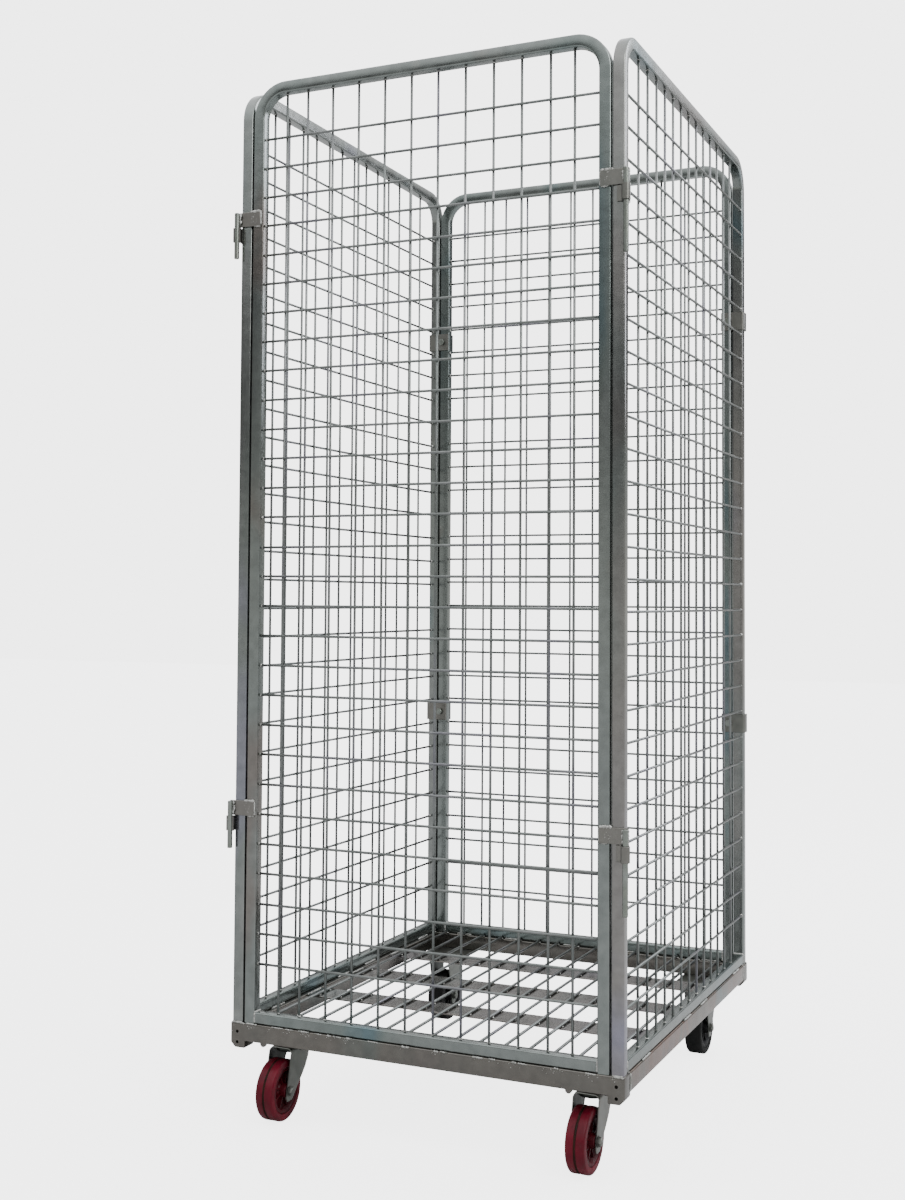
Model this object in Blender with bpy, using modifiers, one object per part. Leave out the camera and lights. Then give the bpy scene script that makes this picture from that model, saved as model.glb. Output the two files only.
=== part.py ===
"""Roll cage container: wheeled base, three fixed mesh panels and a lift-and-swing mesh gate.

Metres, +Z up. The floor is Z = 0, the gate faces -Y, and X = Y = 0 is the middle of the footprint.
"""

import math

import bmesh
import bpy

# Driving dimensions ---------------------------------------------------------------------------
GAP = 0.0003             # clearance kept between pieces that touch or are welded
DECK_Z = 0.162           # top of the base bars

BASE_W = 0.690           # base, outer width in X
BASE_D = 0.794           # base, outer depth in Y
BAR = 0.030              # base bar, square section
DROP = 0.042             # height of the dropped ends of the front and rear bars
DROP_W = 0.027           # width of a dropped end
SLAT_W = 0.058           # flat cross slat, width
SLAT_T = 0.003           # flat cross slat, thickness
SLAT_PITCH = 0.166
FLOOR_WIRE = 0.005
FLOOR_WIRES = 15
FLOOR_PITCH = 0.042

TUBE = 0.020             # square tube of every panel
TUBE_EDGE = 0.002        # rounding of the tube's long edges
PANEL_H = 1.592
CORNER_R = 0.060         # outer radius of a panel's top corners
GATE_W = 0.641           # gate and back panel, outer width
SIDE_X = 0.343           # outer face of a side panel
SIDE_D = 0.790           # side panel, outer depth
WIRE = 0.004             # mesh wire
MESH_TOP = 1.660         # height of the top cross wire of the gate
MESH_PITCH = 0.050       # spacing of the cross wires
MESH_STEP = 2            # the solids carry every second wire each way
MESH_ROWS = 29
UPRIGHTS = 12            # upright wires in the gate and in the back panel
UPRIGHT_PITCH = 0.0492
SIDE_UPRIGHTS = 13
SIDE_PITCH = 0.0500
SIDE_DROP = 0.004        # the side panels' cross wires sit this much lower
GATE_MESH_Y = -0.383     # mesh plane of the gate
BACK_MESH_Y = 0.387      # mesh plane of the back panel
SIDE_MESH_X = 0.337      # mesh plane of a side panel

PIN_R = 0.004            # gate pins
PIN_X = 0.3475
STRAP_T = 0.003
STRAP_H = 0.025
STRAP_IN = 0.304         # inner end of a strap, on the gate post
STRAP_OUT = 0.351        # outer end of a strap, behind the pin
SOCKET_H = 0.025
SOCKET_BORE = 0.0046
SOCKET_R = 0.007
LEAF_T = 0.003
LEAF_L = 0.024
STRAP_Z = (1.509, 0.507)      # lower edge of the upper and the lower straps
LONG_PIN = 0.130              # hinge pins, on the right
SHORT_PIN = 0.079             # latch pins, on the left
PIN_ABOVE = 0.001             # what a pin stands short of the strap's upper edge

CLAMP_T = 0.003
CLAMP_H = 0.036
CLAMP_Z = (1.432, 0.632)
BOLT_R = 0.004
BOLT_X = GATE_W / 2 - TUBE / 2 + 0.004    # the clamp bolts pass through the back panel's posts

CASTER_X = 0.271
CASTER_Y = 0.326
PLATE_X = 0.093
PLATE_Y = 0.108
PLATE_T = 0.003
TRAIL = 0.0375                # the front axles sit this far ahead of their swivels
REAR_OFFSET = 0.016           # the rear axles sit this far ahead of their plates
WHEEL_R = 0.050
WHEEL_W = 0.032
TREAD_T = 0.012
GROOVE = 0.002
HUB_W = 0.037
HUB_R = 0.011
WEB_W = 0.012
RIM_R = 0.030
RIM_W = 0.028
AXLE_R = 0.005
AXLE_BORE = 0.0055
AXLE_HEAD_R = 0.008
AXLE_HEAD = 0.0055
FORK_INNER = 0.0195           # half of the space between the fork's legs
FORK_T = 0.003
FORK_EYE = 0.012              # radius of the leg's end around the axle
CROWN_HALF = 0.030
KING_R = 0.006
KING_HOLE = 0.0065
KING_HEAD_R = 0.010
BEARING_R = 0.026
BEARING_H = 0.010
ROUND_STEPS = 24

# Worked out from the above --------------------------------------------------------------------
FLOOR_Z = DECK_Z + GAP
PANEL_TOP = FLOOR_Z + PANEL_H
SIDE_FACE_Y = SIDE_D / 2
STRAP_Y = -SIDE_FACE_Y - GAP - STRAP_T / 2
PIN_Y = STRAP_Y - STRAP_T / 2 - GAP - PIN_R
PLATE_Z = DECK_Z - BAR - GAP - PLATE_T / 2
PLATE_UNDER = PLATE_Z - PLATE_T / 2
BEARING_Z = PLATE_UNDER - GAP - BEARING_H / 2
CROWN_TOP = BEARING_Z - BEARING_H / 2 - GAP
CROWN_UNDER = CROWN_TOP - FORK_T - 0.001
LEFT = -1
RIGHT = 1


# Helpers --------------------------------------------------------------------------------------
def clear_scene():
    for old in list(bpy.data.objects):
        bpy.data.objects.remove(old, do_unlink=True)


def make_collection(name):
    group = bpy.data.collections.new(name)
    bpy.context.scene.collection.children.link(group)
    return group


def make_material(name, colour, roughness, metallic):
    material = bpy.data.materials.new(name)
    material.use_nodes = True
    shader = material.node_tree.nodes["Principled BSDF"]
    shader.inputs["Base Color"].default_value = (*colour, 1.0)
    shader.inputs["Roughness"].default_value = roughness
    shader.inputs["Metallic"].default_value = metallic
    material.diffuse_color = (*colour, 1.0)
    return material


def add_object(name, bm, material, location=(0, 0, 0), rotation=(0, 0, 0), smooth=False):
    mesh = bpy.data.meshes.new(name)
    bmesh.ops.recalc_face_normals(bm, faces=bm.faces)
    bm.to_mesh(mesh)
    bm.free()
    if smooth:
        for face in mesh.polygons:
            face.use_smooth = True
    item = bpy.data.objects.new(name, mesh)
    item.location = location
    item.rotation_euler = rotation
    item.data.materials.append(material)
    parts.objects.link(item)
    return item


def bevel(item, width, segments=1):
    edge = item.modifiers.new("edge", "BEVEL")
    edge.width = width
    edge.segments = segments
    edge.limit_method = "ANGLE"
    edge.angle_limit = math.radians(50)


def box(name, size, centre, material, edge=0.0):
    bm = bmesh.new()
    bmesh.ops.create_cube(bm, size=1.0)
    bmesh.ops.scale(bm, vec=size, verts=bm.verts)
    item = add_object(name, bm, material, centre)
    if edge:
        bevel(item, edge)
    return item


def prism(name, outline, depth, material, location=(0, 0, 0), rotation=(0, 0, 0)):
    """A flat outline in local X and Y, given its depth along local Z about the outline's plane."""
    bm = bmesh.new()
    face = bm.faces.new([bm.verts.new((x, y, -depth / 2)) for x, y in outline])
    raised = bmesh.ops.extrude_face_region(bm, geom=[face])
    top = [v for v in raised["geom"] if isinstance(v, bmesh.types.BMVert)]
    bmesh.ops.translate(bm, vec=(0, 0, depth), verts=top)
    return add_object(name, bm, material, location, rotation)


def lathe(name, profile, material, location=(0, 0, 0), rotation=(0, 0, 0), closed=False):
    """A profile of (radius, height) points, running down the outer side, turned about local Z."""
    bm = bmesh.new()
    points = [bm.verts.new((radius, 0, height)) for radius, height in profile]
    for first, second in zip(points, points[1:]):
        bm.edges.new((first, second))
    if closed:
        bm.edges.new((points[-1], points[0]))
    item = add_object(name, bm, material, location, rotation)
    turn = item.modifiers.new("turn", "SCREW")
    turn.steps = ROUND_STEPS
    turn.render_steps = ROUND_STEPS
    turn.use_merge_vertices = True
    turn.merge_threshold = 0.00001
    turn.use_smooth_shade = True
    return item


def cylinder(name, radius, length, material, location, rotation=(0, 0, 0), sides=ROUND_STEPS):
    bm = bmesh.new()
    bmesh.ops.create_cone(bm, cap_ends=True, segments=sides, radius1=radius, radius2=radius, depth=length)
    return add_object(name, bm, material, location, rotation, smooth=True)


def as_cutter(item):
    parts.objects.unlink(item)
    cutters.objects.link(item)
    item.hide_render = True
    item.display_type = "WIRE"
    return item


def combine(item, other, operation):
    step = item.modifiers.new(operation.lower(), "BOOLEAN")
    step.operation = operation
    step.solver = "EXACT"
    step.object = as_cutter(other)


def drill(item, radius, length, centre, rotation=(0, 0, 0), sides=ROUND_STEPS):
    tool = cylinder(item.name + "_drill", radius, length, steel, centre, rotation, sides)
    combine(item, tool, "DIFFERENCE")


def arc(centre, radius, start, end, steps):
    """Points on an arc from start to end, in degrees."""
    angles = [math.radians(start + (end - start) * k / steps) for k in range(steps + 1)]
    return [(centre[0] + radius * math.cos(a), centre[1] + radius * math.sin(a)) for a in angles]


# Panels ---------------------------------------------------------------------------------------
def panel_outline(width, inset):
    """Square at the bottom, rounded at the top, and drawn inset from the panel's outer edge."""
    half = width / 2 - inset
    top = PANEL_H - inset
    radius = CORNER_R - inset
    left = arc((-half + radius, top - radius), radius, 180, 90, 6)
    right = arc((half - radius, top - radius), radius, 90, 0, 6)
    return [(-half, inset)] + left + right + [(half, inset)]


def panel_frame(name, width, location, turn):
    """Bent tube and bottom rail, welded into one ring that stands in its local X and Y."""
    bm = bmesh.new()
    outer = [bm.verts.new((x, y, 0)) for x, y in panel_outline(width, 0)]
    inner = [bm.verts.new((x, y, 0)) for x, y in panel_outline(width, TUBE)]
    count = len(outer)
    for k in range(count):
        after = (k + 1) % count
        bm.faces.new((outer[k], outer[after], inner[after], inner[k]))
    item = add_object(name, bm, steel, location, (math.pi / 2, 0, turn))
    body = item.modifiers.new("tube", "SOLIDIFY")
    body.thickness = TUBE
    body.offset = 0
    bevel(item, TUBE_EDGE)
    return item


def wire_edges(centres, wire, low, high):
    """Where the wires start and stop along one direction, with the two ends of the crossing wires."""
    edges = [low]
    for centre in centres:
        edges += [centre - wire / 2, centre + wire / 2]
    return edges + [high]


def lattice(name, columns, rows, wire, x_ends, y_ends, location, rotation=(0, 0, 0)):
    """A flat grid of square wires in local X and Y, welded where they cross."""
    xs = wire_edges(columns, wire, *x_ends)
    ys = wire_edges(rows, wire, *y_ends)
    bm = bmesh.new()
    corners = {}
    for i in range(len(xs) - 1):
        for j in range(len(ys) - 1):
            if i % 2 == 0 and j % 2 == 0:
                continue
            loop = []
            for a, b in ((i, j), (i + 1, j), (i + 1, j + 1), (i, j + 1)):
                if (a, b) not in corners:
                    corners[(a, b)] = bm.verts.new((xs[a], ys[b], 0))
                loop.append(corners[(a, b)])
            bm.faces.new(loop)
    item = add_object(name, bm, wire_steel, location, rotation)
    body = item.modifiers.new("wire", "SOLIDIFY")
    body.thickness = wire
    body.offset = 0
    return item


def gate_columns():
    """The middle pair of upright wires, then every second one outwards."""
    half = [UPRIGHT_PITCH * (k + 0.5) for k in range(0, UPRIGHTS // 2, MESH_STEP)]
    return sorted([-x for x in half] + half)


def mesh_rows(lower_by):
    heights = [MESH_TOP - lower_by - MESH_PITCH * k for k in range(0, MESH_ROWS, MESH_STEP)]
    return sorted(heights)


def panel_mesh(name, columns, rows, width, location, turn):
    reach = width / 2 - TUBE - GAP
    y_ends = (FLOOR_Z + TUBE + GAP, PANEL_TOP - TUBE - GAP)
    return lattice(name, columns, rows, WIRE, (-reach, reach), y_ends, location, (math.pi / 2, 0, turn))


def build_panels():
    columns = gate_columns()
    rows = mesh_rows(0)
    gate_y = -SIDE_FACE_Y + TUBE / 2
    panel_frame("gate_frame", GATE_W, (0, gate_y, FLOOR_Z), 0)
    panel_mesh("gate_mesh", columns, rows, GATE_W, (0, GATE_MESH_Y, 0), 0)
    panel_frame("back_frame", GATE_W, (0, -gate_y, FLOOR_Z), 0)
    panel_mesh("back_mesh", columns, rows, GATE_W, (0, BACK_MESH_Y, 0), 0)

    columns = [SIDE_PITCH * (k - (SIDE_UPRIGHTS - 1) / 2) for k in range(0, SIDE_UPRIGHTS, MESH_STEP)]
    rows = mesh_rows(SIDE_DROP)
    for side, word in ((LEFT, "left"), (RIGHT, "right")):
        frame_x = side * (SIDE_X - TUBE / 2)
        panel_frame(f"side_{word}_frame", SIDE_D, (frame_x, 0, FLOOR_Z), math.pi / 2)
        panel_mesh(f"side_{word}_mesh", columns, rows, SIDE_D, (side * SIDE_MESH_X, 0, 0), math.pi / 2)


# Base -----------------------------------------------------------------------------------------
def end_bar(name, y):
    """Front or rear bar, with an end that drops below the side bars at each corner."""
    half = BASE_W / 2
    chamfer = 0.008
    low = BAR - DROP
    outline = [
        (-half, BAR), (-half, low + chamfer), (-half + chamfer, low), (-half + DROP_W, low),
        (-half + DROP_W, 0), (half - DROP_W, 0), (half - DROP_W, low), (half - chamfer, low),
        (half, low + chamfer), (half, BAR),
    ]
    bar = prism(name, outline, BAR, steel, (0, y, DECK_Z - BAR), (math.pi / 2, 0, 0))
    outside = y + math.copysign(BAR / 2, y)
    for side in (LEFT, RIGHT):
        for height in (0.015, -0.0025):
            centre = (side * (half - DROP_W / 2), outside, DECK_Z - BAR + height)
            drill(bar, 0.0025, 0.012, centre, (math.pi / 2, 0, 0), 12)


def build_base():
    bar_y = BASE_D / 2 - BAR / 2
    end_bar("base_front_bar", -bar_y)
    end_bar("base_rear_bar", bar_y)
    side_length = BASE_D - 2 * BAR - 2 * GAP
    for side, word in ((LEFT, "left"), (RIGHT, "right")):
        centre = (side * (BASE_W / 2 - BAR / 2), 0, DECK_Z - BAR / 2)
        box(f"base_{word}_bar", (BAR, side_length, BAR), centre, steel, TUBE_EDGE)
    slat_length = BASE_W - 2 * BAR - 2 * GAP
    for step, word in ((-1, "front"), (0, "middle"), (1, "rear")):
        centre = (0, step * SLAT_PITCH, DECK_Z - SLAT_T / 2)
        box(f"floor_slat_{word}", (slat_length, SLAT_W, SLAT_T), centre, steel)

    columns = [FLOOR_PITCH * (k - (FLOOR_WIRES - 1) / 2) for k in range(FLOOR_WIRES)]
    end_y = SIDE_FACE_Y - TUBE - 0.0025
    tie_y = end_y - FLOOR_WIRE / 2 - 0.0005
    reach = columns[-1] + FLOOR_WIRE
    height = FLOOR_Z + FLOOR_WIRE / 2
    lattice("floor_wires", columns, [-tie_y, tie_y], FLOOR_WIRE, (-reach, reach), (-end_y, end_y),
            (0, 0, height))


# Gate hardware --------------------------------------------------------------------------------
def socket(name, side, z_low, open_front):
    """A ring that holds a gate pin, with a leaf welded to the outer face of the side panel's post."""
    height = z_low + SOCKET_H / 2
    ring = cylinder(name, SOCKET_R, SOCKET_H, steel, (side * PIN_X, PIN_Y, height))
    leaf_x = SIDE_X + GAP + LEAF_T / 2
    leaf = box(name + "_leaf", (LEAF_T, LEAF_L, SOCKET_H), (side * leaf_x, PIN_Y + LEAF_L / 2, height), steel)
    combine(ring, leaf, "UNION")
    drill(ring, SOCKET_BORE, SOCKET_H * 2, (side * PIN_X, PIN_Y, height))
    if open_front:
        mouth_size = (2 * SOCKET_BORE, 0.02, SOCKET_H * 2)
        mouth = box(name + "_mouth", mouth_size, (side * PIN_X, PIN_Y - 0.01, height), steel)
        combine(ring, mouth, "DIFFERENCE")


def build_gate_hardware():
    for z_low, word in zip(STRAP_Z, ("upper", "lower")):
        for side, hand in ((LEFT, "left"), (RIGHT, "right")):
            centre_x = side * (STRAP_IN + STRAP_OUT) / 2
            centre = (centre_x, STRAP_Y, z_low + STRAP_H / 2)
            box(f"strap_{hand}_{word}", (STRAP_OUT - STRAP_IN, STRAP_T, STRAP_H), centre, steel)
            socket(f"socket_{hand}_{word}", side, z_low - 0.001 - SOCKET_H, side == LEFT)
        top = z_low + STRAP_H - PIN_ABOVE
        cylinder(f"hinge_pin_{word}", PIN_R, LONG_PIN, steel, (PIN_X, PIN_Y, top - LONG_PIN / 2))
        cylinder(f"latch_pin_{word}", PIN_R, SHORT_PIN, steel, (-PIN_X, PIN_Y, top - SHORT_PIN / 2))


def build_clamps():
    """C-shaped clamps that hold the back panel's posts to the side panels, and their bolts."""
    outer = SIDE_X + GAP + CLAMP_T
    inner = GATE_W / 2 - TUBE
    rear = SIDE_FACE_Y + GAP + CLAMP_T
    front = SIDE_FACE_Y - TUBE - GAP - CLAMP_T
    outline = [
        (inner, rear), (inner, rear - CLAMP_T), (outer - CLAMP_T, rear - CLAMP_T),
        (outer - CLAMP_T, front + CLAMP_T), (inner, front + CLAMP_T), (inner, front),
        (outer, front), (outer, rear),
    ]
    lie = (math.pi / 2, 0, 0)
    thread_end = CASTER_Y + TRAIL + WHEEL_R
    head_end = front - GAP - 0.006
    faces = (front - GAP, rear + GAP)
    back = bpy.data.objects["back_frame"]
    for height, word in zip(CLAMP_Z, ("upper", "lower")):
        for side, hand in ((LEFT, "left"), (RIGHT, "right")):
            points = [(side * x, y) for x, y in outline]
            clamp = prism(f"clamp_{hand}_{word}", points, CLAMP_H, steel, (0, 0, height))
            middle = (side * BOLT_X, (front + rear) / 2, height)
            for item in (clamp, back):
                drill(item, BOLT_R + GAP, 0.06, middle, lie, 16)
            profile = [
                (0, -head_end), (0.0065, -head_end), (0.0065, -faces[0]), (BOLT_R, -faces[0]),
                (BOLT_R, -faces[1]), (0.0065, -faces[1]), (0.0065, -faces[1] - 0.006),
                (BOLT_R, -faces[1] - 0.006), (BOLT_R, -thread_end), (0, -thread_end),
            ]
            bolt = lathe(f"clamp_bolt_{hand}_{word}", profile, steel, (side * BOLT_X, 0, height), lie)
            bolt.modifiers["turn"].steps = 12
            bolt.modifiers["turn"].render_steps = 12


# Casters --------------------------------------------------------------------------------------
def wheel(place, centre, tread_material, hub_material, grooved):
    """Tread and hub, turned about the axle, which lies along X."""
    lie = (0, math.pi / 2, 0)
    half = WHEEL_W / 2
    edge = 0.004
    inner = WHEEL_R - TREAD_T
    tread = [(inner, half), (WHEEL_R - edge, half), (WHEEL_R, half - edge)]
    if grooved:
        tread += [(WHEEL_R, GROOVE), (WHEEL_R - GROOVE, 0), (WHEEL_R, -GROOVE)]
    tread += [(WHEEL_R, -half + edge), (WHEEL_R - edge, -half), (inner, -half)]
    lathe(f"tread_{place}", tread, tread_material, centre, lie, closed=True)
    rim = inner - GAP
    hub = [
        (AXLE_BORE, HUB_W / 2), (HUB_R, HUB_W / 2), (HUB_R, WEB_W / 2), (RIM_R, WEB_W / 2),
        (RIM_R, RIM_W / 2), (rim, RIM_W / 2), (rim, -RIM_W / 2), (RIM_R, -RIM_W / 2),
        (RIM_R, -WEB_W / 2), (HUB_R, -WEB_W / 2), (HUB_R, -HUB_W / 2), (AXLE_BORE, -HUB_W / 2),
    ]
    lathe(f"hub_{place}", hub, hub_material, centre, lie, closed=True)


def axle(place, centre):
    """Axle bolt with its head and its nut outside the fork's legs."""
    inside = FORK_INNER + FORK_T + GAP
    outside = inside + AXLE_HEAD
    profile = [
        (0, outside), (AXLE_HEAD_R, outside), (AXLE_HEAD_R, inside), (AXLE_R, inside),
        (AXLE_R, -inside), (AXLE_HEAD_R, -inside), (AXLE_HEAD_R, -outside), (0, -outside),
    ]
    lathe(f"axle_{place}", profile, steel, centre, (0, math.pi / 2, 0))


def fork(name, x, y, axle_y, top, crown_half):
    """An inverted channel around the wheel, cut to a side view that narrows to the axle."""
    outer = FORK_INNER + FORK_T
    under = top - FORK_T - 0.001
    channel = [
        (-outer, 0), (-outer, top), (outer, top), (outer, 0),
        (FORK_INNER, 0), (FORK_INNER, under), (-FORK_INNER, under), (-FORK_INNER, 0),
    ]
    item = prism(name, channel, 0.2, steel, (x, y, 0), (math.pi / 2, 0, 0))
    ahead = axle_y - y
    eye = arc((ahead, WHEEL_R), FORK_EYE, 190, 330, 7)
    side_view = [(-crown_half, top + 0.005), (-crown_half, top - 0.010)] + eye
    side_view += [(crown_half, top - 0.028), (crown_half, top + 0.005)]
    blade = prism(name + "_side_view", side_view, 0.1, steel, (x, y, 0), (math.pi / 2, 0, math.pi / 2))
    combine(item, blade, "INTERSECT")
    drill(item, AXLE_BORE, 0.1, (x, axle_y, WHEEL_R), (0, math.pi / 2, 0))
    return item


def swivel_caster(place, x):
    y = -CASTER_Y
    axle_y = y - TRAIL
    plate = box(f"caster_plate_{place}", (PLATE_X, PLATE_Y, PLATE_T), (x, y, PLATE_Z), plate_steel)
    drill(plate, KING_HOLE, 0.02, (x, y, PLATE_Z))
    half = BEARING_H / 2
    ring = [
        (KING_HOLE, half), (BEARING_R - 0.004, half), (BEARING_R, half - 0.004),
        (BEARING_R, -half), (KING_HOLE, -half),
    ]
    lathe(f"swivel_bearing_{place}", ring, plate_steel, (x, y, BEARING_Z), closed=True)
    swivel = fork(f"fork_{place}", x, y, axle_y, CROWN_TOP, CROWN_HALF)
    drill(swivel, KING_HOLE, 0.02, (x, y, CROWN_TOP))
    head_low = PLATE_Z + PLATE_T / 2 + GAP
    foot_top = CROWN_UNDER - GAP
    king = [
        (0, head_low + 0.003), (KING_HEAD_R, head_low + 0.003), (KING_HEAD_R, head_low),
        (KING_R, head_low), (KING_R, foot_top), (KING_HEAD_R, foot_top),
        (KING_HEAD_R, foot_top - 0.004), (0, foot_top - 0.004),
    ]
    lathe(f"king_pin_{place}", king, plate_steel, (x, y, 0))
    axle(place, (x, axle_y, WHEEL_R))
    wheel(place, (x, axle_y, WHEEL_R), red_tread, red_hub, True)


def rigid_caster(place, x):
    y = CASTER_Y
    axle_y = y - REAR_OFFSET
    box(f"caster_plate_{place}", (PLATE_X, PLATE_Y, PLATE_T), (x, y, PLATE_Z), plate_steel)
    fork(f"fork_{place}", x, axle_y + 0.006, axle_y, PLATE_UNDER - GAP, 0.036)
    axle(place, (x, axle_y, WHEEL_R))
    wheel(place, (x, axle_y, WHEEL_R), black_tread, black_hub, False)


def build_casters():
    for side, word in ((LEFT, "left"), (RIGHT, "right")):
        swivel_caster(f"front_{word}", side * CASTER_X)
        rigid_caster(f"rear_{word}", side * CASTER_X)


clear_scene()
parts = make_collection("roll_cage_container")
cutters = make_collection("cutters")
steel = make_material("zinc_steel", (0.30, 0.31, 0.30), 0.38, 0.9)
wire_steel = make_material("zinc_wire", (0.34, 0.36, 0.34), 0.35, 0.9)
plate_steel = make_material("caster_steel", (0.28, 0.30, 0.29), 0.35, 0.9)
red_tread = make_material("red_polyurethane", (0.14, 0.013, 0.022), 0.42, 0.0)
red_hub = make_material("red_hub_plastic", (0.10, 0.010, 0.016), 0.45, 0.0)
black_tread = make_material("black_rubber", (0.02, 0.02, 0.02), 0.6, 0.0)
black_hub = make_material("black_hub_plastic", (0.03, 0.03, 0.03), 0.5, 0.0)
build_base()
build_panels()
build_gate_hardware()
build_clamps()
build_casters()
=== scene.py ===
"""Looks of the roll cage container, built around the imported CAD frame."""

import math
import random

import bmesh
import bpy
from mathutils import Matrix, Vector


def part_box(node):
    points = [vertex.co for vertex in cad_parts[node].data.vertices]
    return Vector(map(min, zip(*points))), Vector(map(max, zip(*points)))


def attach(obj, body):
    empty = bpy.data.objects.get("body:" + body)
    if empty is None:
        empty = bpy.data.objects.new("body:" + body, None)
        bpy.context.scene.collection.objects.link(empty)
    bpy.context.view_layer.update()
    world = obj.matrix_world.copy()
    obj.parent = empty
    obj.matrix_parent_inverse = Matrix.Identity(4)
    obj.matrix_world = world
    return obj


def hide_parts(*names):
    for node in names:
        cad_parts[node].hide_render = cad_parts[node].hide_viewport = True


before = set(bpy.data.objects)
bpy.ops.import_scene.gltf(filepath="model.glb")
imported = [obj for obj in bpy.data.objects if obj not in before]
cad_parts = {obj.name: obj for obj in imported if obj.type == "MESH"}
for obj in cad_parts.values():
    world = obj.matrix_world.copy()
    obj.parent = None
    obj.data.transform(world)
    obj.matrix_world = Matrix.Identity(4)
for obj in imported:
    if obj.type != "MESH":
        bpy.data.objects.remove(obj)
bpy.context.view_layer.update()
chance = random.Random(7)

# Sizes, in metres ------------------------------------------------------------------------------
TUBE = 0.020
TUBE_ROUND = 0.0028
CORNER_R = 0.060
RAIL_H = 0.019
WIRE_R = 0.0022
FLOOR_WIRE_R = 0.0025
FLOOR_PITCH = 0.042
WIRE_LIFT = 0.0018  # each set of wires lies this far to its side of the mesh plane
PIN_R = 0.0043
ROWS = 29
ROW_PITCH = 0.050
GATE_TOP_ROW = 1.660
SIDE_TOP_ROW = 1.656
GATE_SPACING = 0.9915  # the gate's upright wires stand a little closer than the back's,
GATE_SHIFT = -0.0025  # and a little to the left
BACK_COLUMNS = [0.0246, 0.0738, 0.1230, 0.1722, 0.2214, 0.2619]
SIDE_COLUMNS = [0.0500 * k for k in range(-6, 7)]
LEFT, RIGHT = -1, 1
HANDS = ((LEFT, "left"), (RIGHT, "right"))


# Mesh helpers ----------------------------------------------------------------------------------
def finish_piece(name, bm, material, body, replaces=(), smooth=40):
    """Makes the piece from a bmesh in the row's frame and lets it ride on its body."""
    bmesh.ops.recalc_face_normals(bm, faces=bm.faces)
    mesh = bpy.data.meshes.new(name)
    bm.to_mesh(mesh)
    bm.free()
    piece = bpy.data.objects.new(name, mesh)
    bpy.context.scene.collection.objects.link(piece)
    mesh.materials.append(material)
    mesh.shade_smooth()
    mesh.set_sharp_from_angle(angle=math.radians(smooth))
    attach(piece, body)
    if replaces:
        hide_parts(*replaces)
    return piece


def add_bevel(piece, width, segments=3, angle=40):
    """Rounds the sharp edges of a piece."""
    edge = piece.modifiers.new("edge", "BEVEL")
    edge.width = width
    edge.segments = segments
    edge.limit_method = "ANGLE"
    edge.angle_limit = math.radians(angle)
    edge.harden_normals = False


def box_into(bm, low, high):
    size = [b - a for a, b in zip(low, high)]
    middle = [(a + b) / 2 for a, b in zip(low, high)]
    made = bmesh.ops.create_cube(bm, size=1.0)
    bmesh.ops.scale(bm, vec=size, verts=made["verts"])
    bmesh.ops.translate(bm, vec=middle, verts=made["verts"])
    return made["verts"]


def rod_into(bm, start, end, radius, sides=10, chamfer=0.0):
    """A closed round rod with slightly chamfered ends."""
    start, end = Vector(start), Vector(end)
    along = (end - start).normalized()
    across = along.orthogonal().normalized()
    other = along.cross(across)
    length = (end - start).length
    chamfer = chamfer or radius * 0.3
    stations = [(0, radius - chamfer), (chamfer, radius), (length - chamfer, radius), (length, radius - chamfer)]
    rings = []
    for at, size in stations:
        ring = []
        for k in range(sides):
            turn = 2 * math.pi * k / sides
            spoke = across * math.cos(turn) + other * math.sin(turn)
            ring.append(bm.verts.new(start + along * at + spoke * size))
        rings.append(ring)
    join_rings(bm, rings)


def join_rings(bm, rings, closed=False):
    """Faces between rings of points; open runs get an end face each."""
    count = len(rings[0])
    pairs = list(zip(rings, rings[1:]))
    if closed:
        pairs.append((rings[-1], rings[0]))
    for first, second in pairs:
        for k in range(count):
            after = (k + 1) % count
            bm.faces.new((first[k], first[after], second[after], second[k]))
    if not closed:
        bm.faces.new(rings[0][::-1])
        bm.faces.new(rings[-1])


def rounded_square(half_a, half_b, radius, steps=3):
    """Points of a rectangle with rounded corners, counter-clockwise."""
    points = []
    for corner in range(4):
        sign_a = 1 if corner in (0, 3) else -1
        sign_b = 1 if corner in (0, 1) else -1
        for k in range(steps + 1):
            turn = math.radians(90 * corner + 90 * k / steps)
            points.append((
                sign_a * (half_a - radius) + radius * math.cos(turn),
                sign_b * (half_b - radius) + radius * math.sin(turn),
            ))
    return points


def sweep_into(bm, path, normals, side, section):
    """Sweeps a section along a flat path: its first axis lies on the normals, its second on side."""
    rings = []
    for point, normal in zip(path, normals):
        rings.append([bm.verts.new(Vector(point) + Vector(normal) * a + Vector(side) * b) for a, b in section])
    join_rings(bm, rings)


def lathe_into(bm, profile, centre, axis="X", steps=48):
    """Turns a closed loop of (radius, offset) points about an axis through centre."""
    u, v, w = {
        "X": (Vector((0, 1, 0)), Vector((0, 0, 1)), Vector((1, 0, 0))),
        "Z": (Vector((1, 0, 0)), Vector((0, 1, 0)), Vector((0, 0, 1))),
    }[axis]
    centre = Vector(centre)
    rings = []
    for k in range(steps):
        turn = 2 * math.pi * k / steps
        spoke = u * math.cos(turn) + v * math.sin(turn)
        rings.append([bm.verts.new(centre + spoke * r + w * h) for r, h in profile])
    join_rings(bm, rings, closed=True)


def ball_shape(detail):
    """Corner points and faces of a small sphere, worked out once and copied for every drop."""
    bm = bmesh.new()
    bmesh.ops.create_icosphere(bm, subdivisions=detail, radius=1.0)
    bm.verts.index_update()
    points = [vert.co.copy() for vert in bm.verts]
    faces = [[vert.index for vert in face.verts] for face in bm.faces]
    bm.free()
    return points, faces


BALLS = {1: ball_shape(1), 2: ball_shape(2)}


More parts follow.
